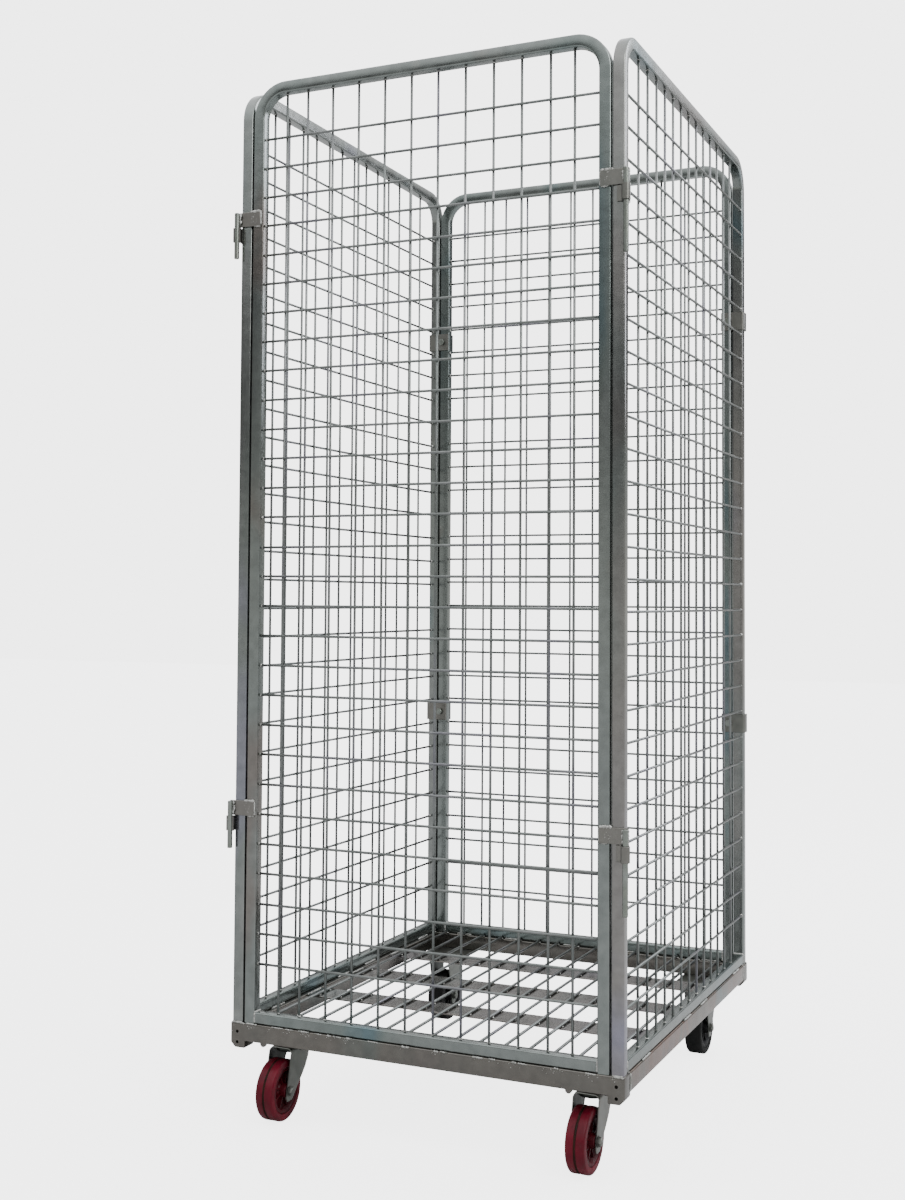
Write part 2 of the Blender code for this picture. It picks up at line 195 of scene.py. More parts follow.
def blob_into(bm, centre, radii, jitter=0.25, detail=1):
    """A small lumpy drop of weld metal."""
    points, faces = BALLS[detail]
    made = []
    for point in points:
        grow = 1 + chance.uniform(-jitter, jitter)
        made.append(bm.verts.new([c + p * r * grow for c, p, r in zip(centre, point, radii)]))
    for face in faces:
        bm.faces.new([made[k] for k in face])


def bead_into(bm, start, end, radius, step=0.55):
    """A weld bead: overlapping drops along a seam."""
    start, end = Vector(start), Vector(end)
    count = max(2, int((end - start).length / (radius * step)))
    for k in range(count + 1):
        place = start.lerp(end, k / count)
        place += Vector([chance.uniform(-0.2, 0.2) * radius for _ in range(3)])
        size = radius * chance.uniform(0.8, 1.15)
        blob_into(bm, place, (size, size, size), 0.12, 2)


def spatter_into(bm, centre, spread, count):
    """Tiny beads of weld metal around a weld, on the face that spread leaves flat."""
    for _ in range(count):
        place = Vector(centre) + Vector([chance.gauss(0, 0.5) * s for s in spread])
        size = chance.uniform(0.0004, 0.0010)
        blob_into(bm, place, (size, size, size), 0.1, 1)


# Materials -------------------------------------------------------------------------------------
def ramp(nodes, stops):
    node = nodes.new("ShaderNodeValToRGB")
    elements = node.color_ramp.elements
    while len(elements) > 1:
        elements.remove(elements[-1])
    elements[0].position = stops[0][0]
    elements[0].color = (*stops[0][1], 1)
    for place, colour in stops[1:]:
        element = elements.new(place)
        element.color = (*colour, 1)
    return node


def noise_node(nodes, links, coordinates, scale, detail=4.0, stretch=(1, 1, 1), distortion=0.0):
    mapping = nodes.new("ShaderNodeMapping")
    mapping.inputs["Scale"].default_value = stretch
    links.new(coordinates, mapping.inputs["Vector"])
    texture = nodes.new("ShaderNodeTexNoise")
    texture.inputs["Scale"].default_value = scale
    texture.inputs["Detail"].default_value = detail
    texture.inputs["Distortion"].default_value = distortion
    links.new(mapping.outputs["Vector"], texture.inputs["Vector"])
    return texture


def mix_colours(nodes, links, factor, first, second, mode="MIX"):
    node = nodes.new("ShaderNodeMix")
    node.data_type = "RGBA"
    node.blend_type = mode
    if isinstance(factor, float):
        node.inputs[0].default_value = factor
    else:
        links.new(factor, node.inputs[0])
    links.new(first, node.inputs[6])
    if isinstance(second, tuple):
        node.inputs[7].default_value = (*second, 1)
    else:
        links.new(second, node.inputs[7])
    return node.outputs[2]


def plated(name, tints, rough=(0.12, 0.26), bump=0.12, dirt=0.35, tint_scale=3.0, metallic=0.92):
    """Zinc plate: slow colour drifts of the passivation, fine streaks, dull patches and pits."""
    material = bpy.data.materials.new(name)
    material.use_nodes = True
    nodes, links = material.node_tree.nodes, material.node_tree.links
    shader = nodes["Principled BSDF"]
    coordinates = nodes.new("ShaderNodeTexCoord").outputs["Object"]
    drift = noise_node(nodes, links, coordinates, tint_scale, 3.0, (1.6, 1.6, 0.8), 0.6)
    spread = len(tints) - 1
    colours = ramp(nodes, [(0.30 + 0.40 * k / spread, tint) for k, tint in enumerate(tints)])
    links.new(drift.outputs["Fac"], colours.inputs["Fac"])
    mottle = noise_node(nodes, links, coordinates, 60.0, 6.0)
    shade = ramp(nodes, [(0.30, (0.80, 0.80, 0.80)), (0.70, (1.0, 1.0, 1.0))])
    links.new(mottle.outputs["Fac"], shade.inputs["Fac"])
    mixed = mix_colours(nodes, links, 1.0, colours.outputs["Color"], shade.outputs["Color"], "MULTIPLY")
    stain = noise_node(nodes, links, coordinates, 11.0, 8.0, (1, 1, 0.35), 0.4)
    stain_mask = ramp(nodes, [(0.56, (0.0, 0.0, 0.0)), (0.74, (dirt, dirt, dirt))])
    links.new(stain.outputs["Fac"], stain_mask.inputs["Fac"])
    mixed = mix_colours(nodes, links, stain_mask.outputs["Color"], mixed, (0.10, 0.105, 0.095))
    links.new(mixed, shader.inputs["Base Color"])
    streak = noise_node(nodes, links, coordinates, 26.0, 5.0, (1, 1, 0.08))
    dull = nodes.new("ShaderNodeMapRange")
    dull.inputs["From Min"].default_value = 0.25
    dull.inputs["From Max"].default_value = 0.75
    dull.inputs["To Min"].default_value = rough[0]
    dull.inputs["To Max"].default_value = rough[1]
    links.new(streak.outputs["Fac"], dull.inputs["Value"])
    links.new(dull.outputs["Result"], shader.inputs["Roughness"])
    shader.inputs["Metallic"].default_value = metallic
    grain = noise_node(nodes, links, coordinates, 900.0, 3.0)
    waves = noise_node(nodes, links, coordinates, 45.0, 2.0)
    total = nodes.new("ShaderNodeMath")
    total.operation = "MULTIPLY_ADD"
    links.new(waves.outputs["Fac"], total.inputs[0])
    total.inputs[1].default_value = 2.5
    links.new(grain.outputs["Fac"], total.inputs[2])
    relief = nodes.new("ShaderNodeBump")
    relief.inputs["Strength"].default_value = bump
    relief.inputs["Distance"].default_value = 0.0006
    links.new(total.outputs["Value"], relief.inputs["Height"])
    links.new(relief.outputs["Normal"], shader.inputs["Normal"])
    return material


def moulded(name, dark, light, rough=(0.32, 0.55), scuff=(0.10, 0.09, 0.085), scuffs=0.5, bump=0.2, coat=0.0):
    """Cast polyurethane, rubber or plastic with mottling, scuffs and a fine moulded grain."""
    material = bpy.data.materials.new(name)
    material.use_nodes = True
    nodes, links = material.node_tree.nodes, material.node_tree.links
    shader = nodes["Principled BSDF"]
    coordinates = nodes.new("ShaderNodeTexCoord").outputs["Object"]
    cloud = noise_node(nodes, links, coordinates, 30.0, 6.0)
    colours = ramp(nodes, [(0.32, dark), (0.68, light)])
    links.new(cloud.outputs["Fac"], colours.inputs["Fac"])
    wear = noise_node(nodes, links, coordinates, 95.0, 9.0, (1, 1, 1), 0.8)
    wear_mask = ramp(nodes, [(0.58, (0.0, 0.0, 0.0)), (0.76, (scuffs, scuffs, scuffs))])
    links.new(wear.outputs["Fac"], wear_mask.inputs["Fac"])
    mixed = mix_colours(nodes, links, wear_mask.outputs["Color"], colours.outputs["Color"], scuff)
    links.new(mixed, shader.inputs["Base Color"])
    dull = nodes.new("ShaderNodeMapRange")
    dull.inputs["From Min"].default_value = 0.3
    dull.inputs["From Max"].default_value = 0.7
    dull.inputs["To Min"].default_value = rough[0]
    dull.inputs["To Max"].default_value = rough[1]
    links.new(wear.outputs["Fac"], dull.inputs["Value"])
    links.new(dull.outputs["Result"], shader.inputs["Roughness"])
    shader.inputs["Specular IOR Level"].default_value = 0.18
    shader.inputs["Coat Weight"].default_value = coat
    shader.inputs["Coat Roughness"].default_value = 0.25
    grain = noise_node(nodes, links, coordinates, 700.0, 4.0)
    relief = nodes.new("ShaderNodeBump")
    relief.inputs["Strength"].default_value = bump
    relief.inputs["Distance"].default_value = 0.0004
    links.new(grain.outputs["Fac"], relief.inputs["Height"])
    links.new(relief.outputs["Normal"], shader.inputs["Normal"])
    return material


GREY = (0.215, 0.235, 0.225)
GREEN = (0.185, 0.215, 0.205)
TEAL = (0.130, 0.185, 0.200)
BROWN = (0.205, 0.190, 0.175)

tube_grey = plated("plated_tube", [TEAL, GREEN, GREY, GREY, BROWN])
tube_right = plated("plated_tube_right", [TEAL, GREY, (0.225, 0.225, 0.215), (0.235, 0.225, 0.215),
                                          (0.25, 0.245, 0.295)], tint_scale=2.2)
tube_left = plated("plated_tube_left", [TEAL, GREY, (0.25, 0.26, 0.25), GREY, (0.24, 0.245, 0.28)], tint_scale=2.6)
rail_teal = plated("plated_rail", [TEAL, GREEN, GREY])
base_brown = plated("plated_base", [(0.130, 0.140, 0.130), (0.150, 0.140, 0.126), (0.140, 0.134, 0.122),
                                    (0.158, 0.140, 0.130)], dirt=0.3)
base_pink = plated("plated_base_right", [(0.120, 0.145, 0.140), (0.185, 0.135, 0.110), (0.150, 0.140, 0.120),
                                         (0.210, 0.130, 0.100), (0.130, 0.150, 0.160)], tint_scale=5.0)
slat_brown = plated("plated_slat", [GREY, BROWN, (0.20, 0.185, 0.175), (0.19, 0.175, 0.19)], dirt=0.5)
wire_zinc = plated("plated_wire", [(0.150, 0.162, 0.158), (0.175, 0.188, 0.180), (0.205, 0.215, 0.210),
                                   (0.180, 0.180, 0.200)], rough=(0.26, 0.42), tint_scale=6.0, dirt=0.15)
caster_zinc = plated("plated_caster", [(0.165, 0.178, 0.160), (0.205, 0.210, 0.192), (0.185, 0.182, 0.165)],
                     rough=(0.26, 0.44))
# Near-black caster metal: painted shade for the inner faces of the fork legs and for the dish under the crown.
caster_painted_shade = plated("painted_shade_caster", [(0.035, 0.042, 0.038), (0.060, 0.066, 0.060), (0.045, 0.045, 0.040)],
                     rough=(0.35, 0.6), dirt=0.6)
strap_zinc = plated("plated_strap", [(0.170, 0.175, 0.160), (0.190, 0.186, 0.170), (0.205, 0.196, 0.182)],
                    rough=(0.24, 0.42))
pin_zinc = plated("plated_pin", [(0.17, 0.20, 0.185), (0.26, 0.28, 0.26), (0.22, 0.24, 0.21), (0.27, 0.27, 0.25)],
                  rough=(0.20, 0.36), tint_scale=16.0)
weld_metal = plated("weld_metal", [(0.14, 0.145, 0.13), (0.52, 0.52, 0.50), (0.24, 0.24, 0.22)],
                    rough=(0.25, 0.55), bump=0.5, tint_scale=70.0)
red_tread = moulded("red_tread", (0.064, 0.0015, 0.007), (0.122, 0.004, 0.014), scuff=(0.05, 0.035, 0.03), scuffs=0.3)
# The red hub is about half as bright as the tread: partly the hub's own darker red, partly painted shade for its deep
# recess.
red_hub = moulded("red_hub", (0.030, 0.001, 0.003), (0.058, 0.002, 0.006), scuff=(0.03, 0.02, 0.02), scuffs=0.2)
# The groove of the front treads, coloured darker than the tread.
groove_dark = moulded("groove_darker", (0.016, 0.010, 0.006), (0.050, 0.014, 0.010), (0.6, 0.85), scuffs=0.2)
black_tread = moulded("black_tread", (0.0035, 0.0036, 0.0035), (0.008, 0.0085, 0.008), (0.5, 0.75),
                      scuff=(0.03, 0.031, 0.03), scuffs=0.3)
# The black hub: its own black, kept this dark partly as painted shade for its deep recess.
black_hub = moulded("black_hub", (0.005, 0.005, 0.0055), (0.011, 0.011, 0.012), (0.4, 0.65),
                    scuff=(0.03, 0.03, 0.03), scuffs=0.25)


# Panels ----------------------------------------------------------------------------------------
def tube_path(low, top, half):
    """Centre line of an inverted U in its own plane, with the outward normals along it."""
    reach = half - TUBE / 2
    crown = top - TUBE / 2
    radius = CORNER_R - TUBE / 2
    path, normals = [(-reach, low)], [(-1, 0)]
    for start, centre_x in ((180, -reach + radius), (90, reach - radius)):
        for k in range(13):
            turn = math.radians(start - 90 * k / 12)
            path.append((centre_x + radius * math.cos(turn), crown - radius + radius * math.sin(turn)))
            normals.append((math.cos(turn), math.sin(turn)))
    path.append((reach, low))
    normals.append((1, 0))
    return path, normals


def panel(word, node, mesh_node, body, tube_material, rail_material, columns, top_row, upright_at, cross_at, along):
    """Tube, rail, wires and their welds. along names the axis that the panel's width lies on."""
    low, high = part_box(node)
    axis = 0 if along == "X" else 1
    flat = 1 - axis
    half = (high[axis] - low[axis]) / 2
    middle = (low[flat] + high[flat]) / 2

    def place(a, z, off):
        point = [0.0, 0.0, z]
        point[axis] = a
        point[flat] = off
        return point

    side = place(0, 0, 1)
    path, normals = tube_path(low[2], high[2], half)
    bm = bmesh.new()
    section = rounded_square(TUBE / 2, TUBE / 2, TUBE_ROUND, 4)
    sweep_into(bm, [place(a, z, middle) for a, z in path], [place(a, z, 0) for a, z in normals], side, section)
    finish_piece(word + "_tube", bm, tube_material, body, [node], 50)

    inner = half - TUBE
    rail_z = low[2] + RAIL_H / 2
    bm = bmesh.new()
    section = rounded_square(RAIL_H / 2, TUBE / 2 - 0.0004, TUBE_ROUND, 4)
    ends = [place(-inner - 0.0006, rail_z, middle), place(inner + 0.0006, rail_z, middle)]
    sweep_into(bm, ends, [(0, 0, 1), (0, 0, 1)], side, section)
    finish_piece(word + "_rail", bm, rail_material, body, (), 50)

    bm = bmesh.new()
    welds = bmesh.new()
    bottom = low[2] + RAIL_H - 0.0015
    top = high[2] - TUBE + 0.0015
    for a in columns:
        slip = chance.uniform(-0.0004, 0.0004)
        rod_into(bm, place(a + slip, bottom, upright_at), place(a - slip, top, upright_at), WIRE_R)
        blob_into(welds, place(a + slip, bottom + 0.0015, upright_at), (0.0034, 0.0034, 0.0018))
        blob_into(welds, place(a - slip, top - 0.0015, upright_at), (0.0034, 0.0034, 0.0018))
    for k in range(ROWS):
        z = top_row - ROW_PITCH * k + chance.uniform(-0.0005, 0.0005)
        tilt = chance.uniform(-0.0005, 0.0005)
        reach = inner + 0.0012
        rod_into(bm, place(-reach, z - tilt, cross_at), place(reach, z + tilt, cross_at), WIRE_R)
        for end in (-1, 1):
            spot = place(end * (inner - 0.0006), z + end * tilt, cross_at)
            radii = place(0.0026, 0.0032, 0.0034)
            blob_into(welds, spot, [abs(r) for r in radii])
    finish_piece(word + "_wires", bm, wire_zinc, body, [mesh_node], 50)
    for end in (-1, 1):
        for face in (-1, 1):
            off = middle + face * (TUBE / 2 - 0.0012)
            bead_into(welds, place(end * inner, low[2] + 0.003, off),
                      place(end * inner, low[2] + RAIL_H - 0.002, off), 0.0016)
        bead_into(welds, place(end * inner, low[2] + RAIL_H, middle - 0.008),
                  place(end * inner, low[2] + RAIL_H, middle + 0.008), 0.0017)
    finish_piece(word + "_welds", welds, weld_metal, body, (), 60)


back_columns = [-x for x in reversed(BACK_COLUMNS)] + BACK_COLUMNS
gate_columns = [x * GATE_SPACING + GATE_SHIFT for x in back_columns]
gate_y = sum(c[1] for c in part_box("gate_mesh")) / 2
back_y = sum(c[1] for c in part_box("back_mesh")) / 2
panel("gate", "gate_frame", "gate_mesh", "gate", tube_grey, tube_grey, gate_columns, GATE_TOP_ROW,
      gate_y + WIRE_LIFT, gate_y - WIRE_LIFT, "X")
panel("back", "back_frame", "back_mesh", "frame", tube_grey, rail_teal, back_columns, GATE_TOP_ROW,
      back_y + WIRE_LIFT, back_y - WIRE_LIFT, "X")
for side, hand in HANDS:
    mesh_x = side * abs(sum(c[0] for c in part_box(f"side_{hand}_mesh")) / 2)
    panel("side_" + hand, f"side_{hand}_frame", f"side_{hand}_mesh", "frame",
          tube_right if side == RIGHT else tube_left, rail_teal, SIDE_COLUMNS, SIDE_TOP_ROW,
          mesh_x - side * WIRE_LIFT, mesh_x + side * WIRE_LIFT, "Y")


# Base ------------------------------------------------------------------------------------------
def end_bar(name, node, material):
    """Front or rear bar with its dropped, chamfered and drilled ends."""
    low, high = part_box(node)
    drop, chamfer, width = 0.012, 0.008, 0.027
    front = node == "base_front_bar"
    outline = [
        (low[0], high[2]), (low[0], low[2] + chamfer), (low[0] + chamfer, low[2]), (low[0] + width, low[2]),
        (low[0] + width, low[2] + drop), (high[0] - width, low[2] + drop), (high[0] - width, low[2]),
        (high[0] - chamfer, low[2]), (high[0], low[2] + chamfer), (high[0], high[2]),
    ]
    bm = bmesh.new()
    face = bm.faces.new([bm.verts.new((x, low[1], z)) for x, z in outline])
    grown = bmesh.ops.extrude_face_region(bm, geom=[face])
    moved = [v for v in grown["geom"] if isinstance(v, bmesh.types.BMVert)]
    bmesh.ops.translate(bm, vec=(0, high[1] - low[1], 0), verts=moved)
    bar = finish_piece(name, bm, material, "frame", [node], 40)
    add_bevel(bar, 0.0022)
    outer = low[1] if front else high[1]
    tool_mesh = bmesh.new()
    for hand in (LEFT, RIGHT):
        x = hand * (high[0] - width / 2 + 0.0005)
        for z in (0.1470, 0.1295):
            rod_into(tool_mesh, (x, outer - 0.010, z), (x, outer + 0.010, z), 0.0027, 20)
    mesh = bpy.data.meshes.new(name + "_drill")
    bmesh.ops.recalc_face_normals(tool_mesh, faces=tool_mesh.faces)
    tool_mesh.to_mesh(mesh)
    tool_mesh.free()
    tool = bpy.data.objects.new(name + "_drill", mesh)
    bpy.context.scene.collection.objects.link(tool)
    cut = bar.modifiers.new("holes", "BOOLEAN")
    cut.operation = "DIFFERENCE"
    cut.solver = "EXACT"
    cut.object = tool
    bake(bar)
    bpy.data.objects.remove(tool, do_unlink=True)


def bake(piece):
    """Applies the modifiers, so that no helper object stays in the scene."""
    bpy.context.view_layer.update()
    evaluated = piece.evaluated_get(bpy.context.evaluated_depsgraph_get())
    mesh = bpy.data.meshes.new_from_object(evaluated)
    piece.modifiers.clear()
    piece.data = mesh
    mesh.shade_smooth()
    mesh.set_sharp_from_angle(angle=math.radians(35))


end_bar("base_front", "base_front_bar", base_brown)
end_bar("base_rear", "base_rear_bar", base_brown)
for side, hand in HANDS:
    node = f"base_{hand}_bar"
    low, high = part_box(node)
    bm = bmesh.new()
    section = rounded_square((high[2] - low[2]) / 2, (high[0] - low[0]) / 2, 0.0030, 4)
    centre_x, centre_z = (low[0] + high[0]) / 2, (low[2] + high[2]) / 2
    ends = [(centre_x, low[1], centre_z), (centre_x, high[1], centre_z)]
    sweep_into(bm, ends, [(0, 0, 1), (0, 0, 1)], (1, 0, 0), section)
    finish_piece(f"base_{hand}", bm, base_pink if side == RIGHT else base_brown, "frame", [node], 50)

for word in ("front", "middle", "rear"):
    low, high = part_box("floor_slat_" + word)
    bm = bmesh.new()
    box_into(bm, low, high)
    slat = finish_piece("slat_" + word, bm, slat_brown, "frame", ["floor_slat_" + word], 40)
    add_bevel(slat, 0.0008, 2)

low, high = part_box("floor_wires")
floor_z = (low[2] + high[2]) / 2
bm = bmesh.new()
welds = bmesh.new()
for k in range(-7, 8):
    x = FLOOR_PITCH * k + chance.uniform(-0.0006, 0.0006)
    lean = chance.uniform(-0.0008, 0.0008)
    rod_into(bm, (x - lean, low[1] + 0.0004, floor_z), (x + lean, high[1] - 0.0004, floor_z), FLOOR_WIRE_R, 12)
    for y in (low[1] + 0.003, high[1] - 0.003):
        for face in (-1, 1):
            blob_into(welds, (x + face * 0.0026, y, floor_z - 0.0018), (0.0024, 0.0034, 0.0014))
    for word in ("front", "middle", "rear"):
        slat_y = sum(c[1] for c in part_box("floor_slat_" + word)) / 2
        for face in (-1, 1):
            for reach in (-0.018, 0.018):
                blob_into(welds, (x + face * 0.0022, slat_y + reach, floor_z - 0.0021), (0.0016, 0.0030, 0.0010))
finish_piece("floor_rods", bm, wire_zinc, "frame", ["floor_wires"], 50)
for hand in (LEFT, RIGHT):
    for word in ("front", "middle", "rear"):
        low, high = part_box("floor_slat_" + word)
        x = hand * (high[0] - 0.0006)
        bead_into(welds, (x, low[1] + 0.006, high[2] - 0.0002), (x, high[1] - 0.006, high[2] - 0.0002), 0.0014)
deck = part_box("gate_frame")[0][2]
for side in (LEFT, RIGHT):
    for y0, y1 in ((-0.30, -0.26), (-0.06, -0.02), (0.05, 0.09), (0.29, 0.33)):
        for face in (0.3226, 0.3434):
            bead_into(welds, (side * face, y0, deck), (side * face, y1, deck), 0.0015)
back_low, back_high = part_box("back_frame")
for x in (-0.27, -0.16, -0.03, 0.10, 0.26):
    bead_into(welds, (x, back_low[1] - 0.0002, deck), (x + 0.03, back_low[1] - 0.0002, deck), 0.0015)
    bead_into(welds, (x, back_high[1] + 0.0004, deck), (x + 0.03, back_high[1] + 0.0004, deck), 0.0013)
side_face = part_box("side_right_frame")[1][1]
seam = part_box("base_right_bar")[1][1]
for side in (LEFT, RIGHT):
    for end in (-1, 1):
        y = end * (side_face + 0.0002)
        bead_into(welds, (side * 0.325, y, deck), (side * 0.341, y, deck), 0.0014)
        bead_into(welds, (side * 0.3448, end * seam, 0.135), (side * 0.3448, end * seam, 0.159), 0.0013)
        bead_into(welds, (side * 0.318, end * seam, 0.1622), (side * 0.342, end * seam, 0.1622), 0.0013)
front_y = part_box("base_front_bar")[0][1]
gate_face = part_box("gate_frame")[0][1]
x = -0.338
while x < 0.330:
    length = chance.uniform(0.003, 0.020)
    size = chance.uniform(0.0009, 0.0017)
    y = gate_face - 0.0002 - size
    z = deck - chance.uniform(0.0002, 0.0012)
    bead_into(welds, (x, y, z), (x + length, y, z - chance.uniform(0, 0.0008)), size, 0.8)
    spatter_into(welds, (x, front_y + 0.0002, 0.1575), (0.012, 0.0001, 0.004), chance.randint(1, 5))
    x += length + chance.choice((0.006, 0.012, 0.030, 0.045))
for x in (-0.31, -0.235, -0.20, -0.12, 0.03, 0.22, 0.29):
    spatter_into(welds, (x, front_y + 0.0004, 0.157), (0.014, 0.0002, 0.004), 9)
finish_piece("base_welds", welds, weld_metal, "frame", (), 60)

bm = bmesh.new()
for x in (-0.282, 0.256):
    points = [(0.0055 * math.cos(math.radians(180 + 15 * k)), 0.0060 * math.sin(math.radians(180 + 15 * k)))
              for k in range(13)]
    rings = []
    for y in (front_y + 0.0005, front_y + 0.0045):
        ring = [bm.verts.new((x + a, y, 0.1325 + b)) for a, b in points]
        ring += [bm.verts.new((x + 0.0055, y, 0.1345)), bm.verts.new((x - 0.0055, y, 0.1345))]
        rings.append(ring)
    join_rings(bm, rings)
finish_piece("base_lugs", bm, base_brown, "frame", (), 40)


# Gate hardware ---------------------------------------------------------------------------------
def loop_path(side, centre, closed):
    """Line of the strip that is bent round a pin, seen from above, for the right or the left side."""
    radius = 0.0060
    cx, cy = abs(centre[0]), centre[1]
    if closed:
        points = [(0.3310, -side_face - 0.0016), (0.3355, -side_face - 0.0016), (0.3400, -side_face - 0.0030)]
        first, last = 205, 395
    else:
        points = []
        first, last = -10, 190
    steps = 14
    for k in range(steps + 1):
        turn = math.radians(first + (last - first) * k / steps)
        points.append((cx + radius * math.cos(turn), cy + radius * math.sin(turn)))
    if closed:
        points += [(0.3462, cy + 0.0085), (0.3447, cy + 0.0125), (0.3446, cy + 0.0200)]
    return [(side * x, y) for x, y in points]


def strip_into(bm, line, thickness, low, high):
    """A flat strip on edge that follows a line, seen from above."""
    half = thickness / 2
    rings = []
    for k, point in enumerate(line):
        before = Vector(line[max(0, k - 1)])
        after = Vector(line[min(len(line) - 1, k + 1)])
        run = (after - before).normalized()
        normal = Vector((-run.y, run.x)) * half
        near, far = Vector(point) + normal, Vector(point) - normal
        trim = 0.0005
        ring = [
            (near.x, near.y, low + trim), (near.x, near.y, high - trim),
            ((near.x * 3 + far.x) / 4, (near.y * 3 + far.y) / 4, high),
            ((near.x + far.x * 3) / 4, (near.y + far.y * 3) / 4, high),
            (far.x, far.y, high - trim), (far.x, far.y, low + trim),
            ((near.x + far.x * 3) / 4, (near.y + far.y * 3) / 4, low),
            ((near.x * 3 + far.x) / 4, (near.y * 3 + far.y) / 4, low),
        ]
        rings.append([bm.verts.new(p) for p in ring])
    join_rings(bm, rings)


gate_welds = bmesh.new()
frame_welds = bmesh.new()
for side, hand in HANDS:
    for level in ("upper", "lower"):
        low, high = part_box(f"strap_{hand}_{level}")
        bm = bmesh.new()
        box_into(bm, low, high)
        strap = finish_piece(f"strap_{hand}_{level}_plate", bm, strap_zinc, "gate", [f"strap_{hand}_{level}"],
                             40)
        add_bevel(strap, 0.0009, 3)
        inner_x = side * min(abs(low[0]), abs(high[0]))
        front = low[1]
        bead_into(gate_welds, (inner_x + side * 0.002, front + 0.0022, high[2]),
                  (inner_x + side * 0.018, front + 0.0022, high[2]), 0.0027)
        bead_into(gate_welds, (inner_x + side * 0.002, front + 0.0022, low[2]),
                  (inner_x + side * 0.012, front + 0.0022, low[2]), 0.0018)
        bead_into(gate_welds, (inner_x, front + 0.0022, low[2] + 0.003),
                  (inner_x, front + 0.0022, high[2] - 0.002), 0.0016)
        spatter_into(gate_welds, (inner_x + side * 0.012, front + 0.0002, (low[2] + high[2]) / 2),
                     (0.008, 0.0001, 0.010), 10)
        pin = f"hinge_pin_{level}" if side == RIGHT else f"latch_pin_{level}"
        pin_low, pin_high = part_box(pin)
        pin_x, pin_y = (pin_low[0] + pin_high[0]) / 2, (pin_low[1] + pin_high[1]) / 2
        for lean in (-1, 1):
            bead_into(gate_welds, (pin_x + lean * 0.0036, pin_y + 0.0034, low[2] + 0.002),
                      (pin_x + lean * 0.0036, pin_y + 0.0034, high[2] - 0.003), 0.0015)
        for _ in range(9):
            size = chance.uniform(0.0012, 0.0024)
            place = (pin_x - side * chance.uniform(0.0036, 0.0062), pin_y + chance.uniform(0.0012, 0.0032),
                     chance.uniform(low[2] + 0.002, high[2] - 0.002))
            blob_into(gate_welds, place, (size, size * 0.8, size * 1.3), 0.2, 2)
        bm = bmesh.new()
        rod_into(bm, (pin_x, pin_y, pin_low[2]), (pin_x, pin_y, pin_high[2]), PIN_R, 24, 0.0008)
        finish_piece(pin + "_rod", bm, pin_zinc, "gate_pins" if side == RIGHT else "gate", [pin], 40)

        low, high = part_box(f"socket_{hand}_{level}")
        bm = bmesh.new()
        line = loop_path(side, (pin_x, pin_y), side == RIGHT)
        strip_into(bm, line, 0.0022, low[2], high[2])
        if side == LEFT:
            leaf = [(-0.3448, pin_y + 0.0065), (-0.3447, pin_y + 0.0240)]
            strip_into(bm, leaf, 0.0026, low[2], high[2])
        finish_piece(f"loop_{hand}_{level}", bm, strap_zinc, "frame", [f"socket_{hand}_{level}"], 40)
        for z in (low[2] + 0.0005, high[2] - 0.0005):
            bead_into(frame_welds, (side * 0.3452, pin_y + 0.014, z), (side * 0.3452, pin_y + 0.022, z), 0.0016)
        bead_into(frame_welds, (side * 0.3450, pin_y + 0.0245, low[2] + 0.003),
                  (side * 0.3450, pin_y + 0.0245, high[2] - 0.003), 0.0016)
finish_piece("strap_welds", gate_welds, weld_metal, "gate", (), 60)
finish_piece("loop_welds", frame_welds, weld_metal, "frame", (), 60)


# Rear clamps -----------------------------------------------------------------------------------
def hexagon_into(bm, centre, across, start, end, chamfer=0.0006):
    """Bolt head or nut with its axis along Y."""
    radius = across / math.sqrt(3)
    rings = []
    for y, size in ((start, radius - chamfer), (start + chamfer, radius),
                    (end - chamfer, radius), (end, radius - chamfer)):
        rings.append([bm.verts.new((centre[0] + size * math.cos(math.radians(60 * k)), y,
                                    centre[1] + size * math.sin(math.radians(60 * k)))) for k in range(6)])
    join_rings(bm, rings)


for side, hand in HANDS:
    for level in ("upper", "lower"):
        node = f"clamp_{hand}_{level}"
        low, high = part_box(node)
        piece_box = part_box(f"clamp_bolt_{hand}_{level}")
        bolt_x = (piece_box[0][0] + piece_box[1][0]) / 2
        inner_x = min(abs(low[0]), abs(high[0]))
        outer_x = max(abs(low[0]), abs(high[0])) - 0.0015
        front, rear = low[1] + 0.0015, high[1] - 0.0015
        bend = 0.003
        line = [(inner_x, rear), (outer_x - bend, rear)]
        for k in range(1, 6):
            turn = math.radians(90 - 18 * k)
            line.append((outer_x - bend + bend * math.cos(turn), rear - bend + bend * math.sin(turn)))
        for k in range(0, 6):
            turn = math.radians(0 - 18 * k)
            line.append((outer_x - bend + bend * math.cos(turn), front + bend + bend * math.sin(turn)))
        line.append((inner_x, front))
        bm = bmesh.new()
        strip_into(bm, [(side * x, y) for x, y in line], 0.003, low[2], high[2])
        finish_piece(f"clamp_{hand}_{level}_strip", bm, strap_zinc, "frame", [node], 40)
        bm = bmesh.new()
        z = (low[2] + high[2]) / 2
        hexagon_into(bm, (bolt_x, z), 0.012, piece_box[0][1], low[1] - 0.0003)
        hexagon_into(bm, (bolt_x, z), 0.012, high[1] + 0.0003, high[1] + 0.0063)
        rod_into(bm, (bolt_x, piece_box[0][1] + 0.002, z), (bolt_x, piece_box[1][1], z), 0.0038, 20, 0.0008)
        finish_piece(f"clamp_{hand}_{level}_bolt", bm, pin_zinc, "frame", [f"clamp_bolt_{hand}_{level}"],
                     35)


